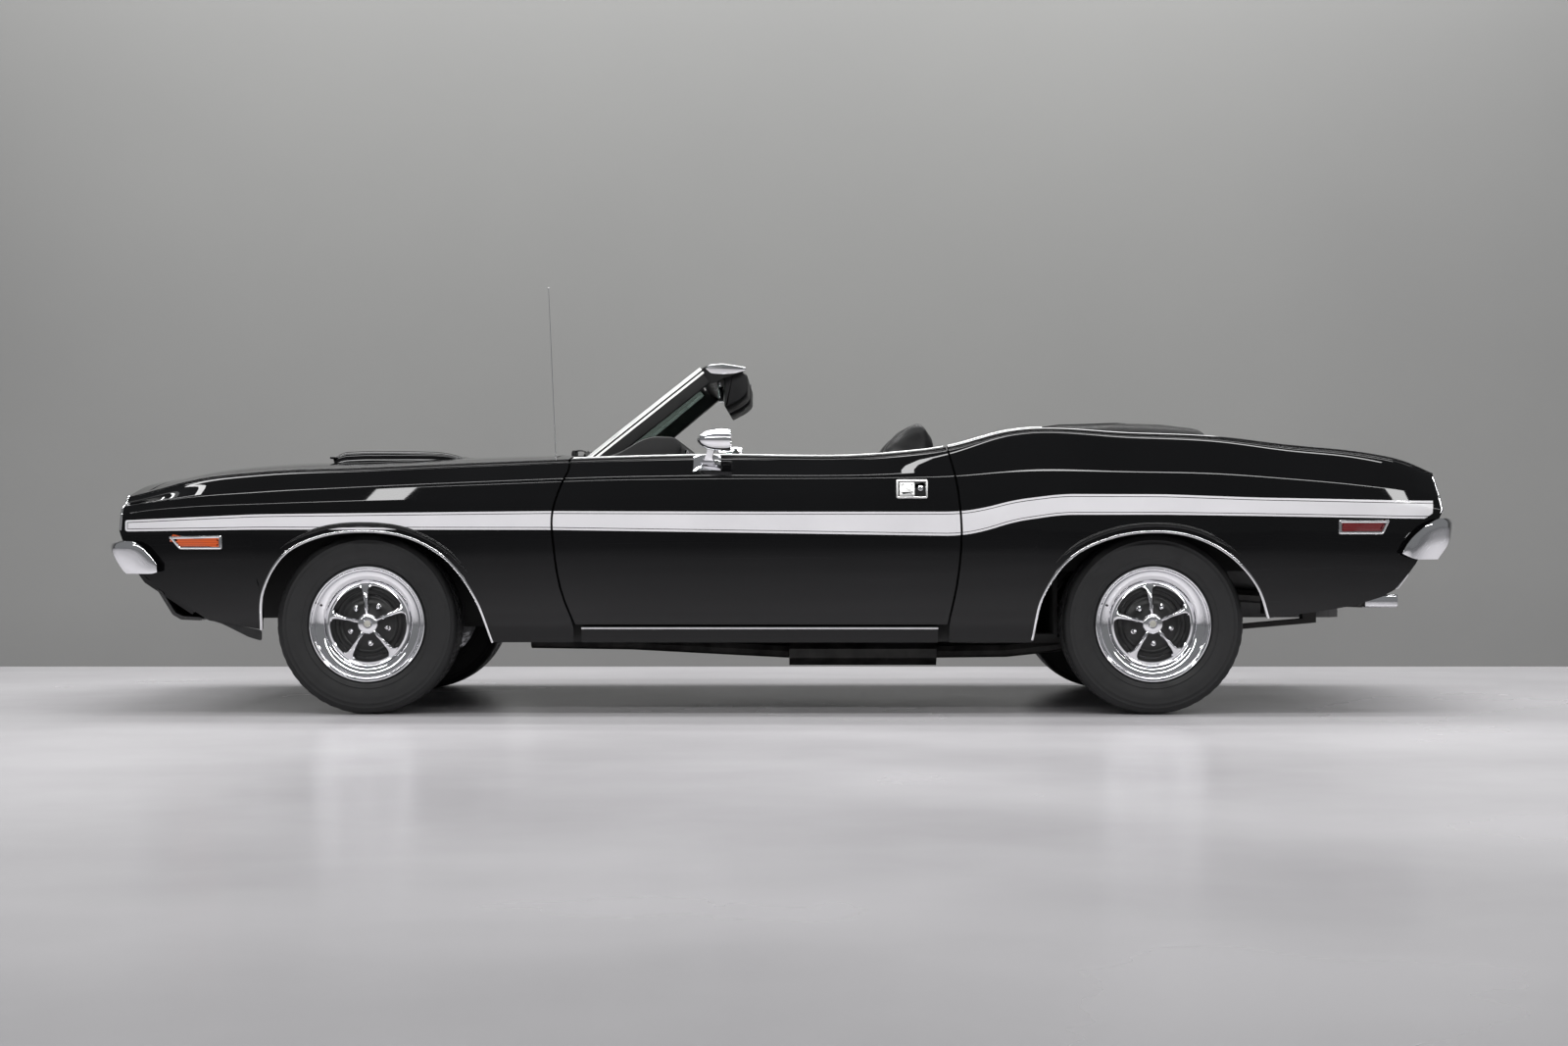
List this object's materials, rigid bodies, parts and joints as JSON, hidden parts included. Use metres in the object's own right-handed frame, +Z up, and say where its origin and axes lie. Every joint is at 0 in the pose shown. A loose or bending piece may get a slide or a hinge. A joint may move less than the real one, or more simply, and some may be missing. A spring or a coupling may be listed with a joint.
{
  "type": "muscle car convertible",
  "caption": "Two-door muscle car convertible with its top folded under a boot, hinged doors, hood and trunk lid, steered front wheels and styled spoke wheels.",
  "frame": {"origin": "on the ground, under the middle of the car's length, on its centre plane", "axes": "+X to the rear, +Y to the car's right-hand side, +Z up"},
  "size_m": [4.859, 1.99, 1.6691],
  "materials": {
    "body_paint": "deep gloss black paint over steel",
    "tub_paint": "satin black paint on the structure",
    "chrome": "polished chrome plate",
    "glass": "clear laminated glass",
    "lamp_glass": "pressed clear lamp glass",
    "red_lens": "red lens",
    "marker_lens": "amber lens in front, red behind",
    "grille_black": "black grille",
    "tyre_rubber": "black rubber",
    "rim_chrome": "chrome rim, black between its spokes",
    "cast_iron": "bare iron",
    "steel": "plain steel",
    "engine": "painted iron block",
    "trim_black": "black padded trim",
    "seat_vinyl": "pleated black upholstery",
    "boot_vinyl": "black grained cover"
  },
  "bodies": {
    "chassis": {"body_tub": "tub_paint", "front_structure": "tub_paint", "rear_structure": "tub_paint", "front_fender_left": "body_paint", "front_fender_right": "body_paint", "nose_panel": "body_paint", "cowl_panel": "body_paint", "quarter_panel_left": "body_paint", "quarter_panel_right": "body_paint", "tail_panel": "body_paint", "windshield_frame": "chrome", "windshield_glass": "glass", "front_bumper": "chrome", "rear_bumper": "chrome", "grille": "grille_black", "headlamps": "lamp_glass", "front_valance": "body_paint", "tail_lamps": "red_lens", "front_subframe": "steel", "engine_gearbox": "engine", "driveshaft": "steel", "rear_axle": "cast_iron", "fuel_tank": "steel", "radiator": "steel", "exhaust": "steel", "dashboard": "trim_black", "steering_column": "trim_black", "console": "trim_black", "front_seats": "seat_vinyl", "rear_seat": "seat_vinyl", "top_boot": "boot_vinyl", "side_markers": "marker_lens", "aerial": "chrome"},
    "door_left_body": {"door_left": "body_paint", "mirror_left": "chrome", "door_handle_left": "chrome"},
    "door_right_body": {"door_right": "body_paint", "mirror_right": "chrome", "door_handle_right": "chrome"},
    "hood_body": {"hood": "body_paint"},
    "trunk_lid_body": {"trunk_lid": "body_paint"},
    "steering_wheel_body": {"steering_wheel": "trim_black"},
    "knuckle_left_body": {"knuckle_left": "cast_iron"},
    "knuckle_right_body": {"knuckle_right": "cast_iron"},
    "wheel_front_left": {"tyre_front_left": "tyre_rubber", "rim_front_left": "rim_chrome"},
    "wheel_front_right": {"tyre_front_right": "tyre_rubber", "rim_front_right": "rim_chrome"},
    "wheel_rear_left": {"tyre_rear_left": "tyre_rubber", "rim_rear_left": "rim_chrome"},
    "wheel_rear_right": {"tyre_rear_right": "tyre_rubber", "rim_rear_right": "rim_chrome"}
  },
  "joints": [
    {"name": "door_left_hinge", "type": "hinge", "parent": "chassis", "child": "door_left_body", "pos_m": [-0.8385, -0.922, 0.6], "axis": [0, 0, -1], "range_deg": [0, 65]},
    {"name": "door_right_hinge", "type": "hinge", "parent": "chassis", "child": "door_right_body", "pos_m": [-0.8385, 0.922, 0.6], "axis": [0, 0, 1], "range_deg": [0, 65]},
    {"name": "hood_hinge", "type": "hinge", "parent": "chassis", "child": "hood_body", "pos_m": [-0.7795, 0, 0.922], "axis": [0, 1, 0], "range_deg": [0, 50]},
    {"name": "trunk_lid_hinge", "type": "hinge", "parent": "chassis", "child": "trunk_lid_body", "pos_m": [1.5695, 0, 1], "axis": [0, -1, 0], "range_deg": [0, 60]},
    {"name": "steer_left", "type": "hinge", "parent": "chassis", "child": "knuckle_left_body", "pos_m": [-1.4645, -0.7, 0.322], "axis": [0, 0, 1], "range_deg": [-30, 30]},
    {"name": "steer_right", "type": "hinge", "parent": "chassis", "child": "knuckle_right_body", "pos_m": [-1.4645, 0.7, 0.322], "axis": [0, 0, 1], "range_deg": [-30, 30]},
    {"name": "steering_wheel_turn", "type": "hinge", "parent": "chassis", "child": "steering_wheel_body", "pos_m": [-0.0875, -0.38, 0.779], "axis": [0.9063, 0, 0.4226], "range_deg": [-490, 490]},
    {"name": "front_left_spin", "type": "hinge", "parent": "knuckle_left_body", "child": "wheel_front_left", "pos_m": [-1.4645, -0.758, 0.322], "axis": [0, 1, 0], "continuous": true},
    {"name": "front_right_spin", "type": "hinge", "parent": "knuckle_right_body", "child": "wheel_front_right", "pos_m": [-1.4645, 0.758, 0.322], "axis": [0, 1, 0], "continuous": true},
    {"name": "rear_left_spin", "type": "hinge", "parent": "chassis", "child": "wheel_rear_left", "pos_m": [1.3295, -0.771, 0.322], "axis": [0, 1, 0], "continuous": true},
    {"name": "rear_right_spin", "type": "hinge", "parent": "chassis", "child": "wheel_rear_right", "pos_m": [1.3295, 0.771, 0.322], "axis": [0, 1, 0], "continuous": true}
  ],
  "couplings": [
    {"joint": "steer_right", "follows": "steer_left", "ratio": 1},
    {"joint": "steering_wheel_turn", "follows": "steer_left", "ratio": 16}
  ]
}
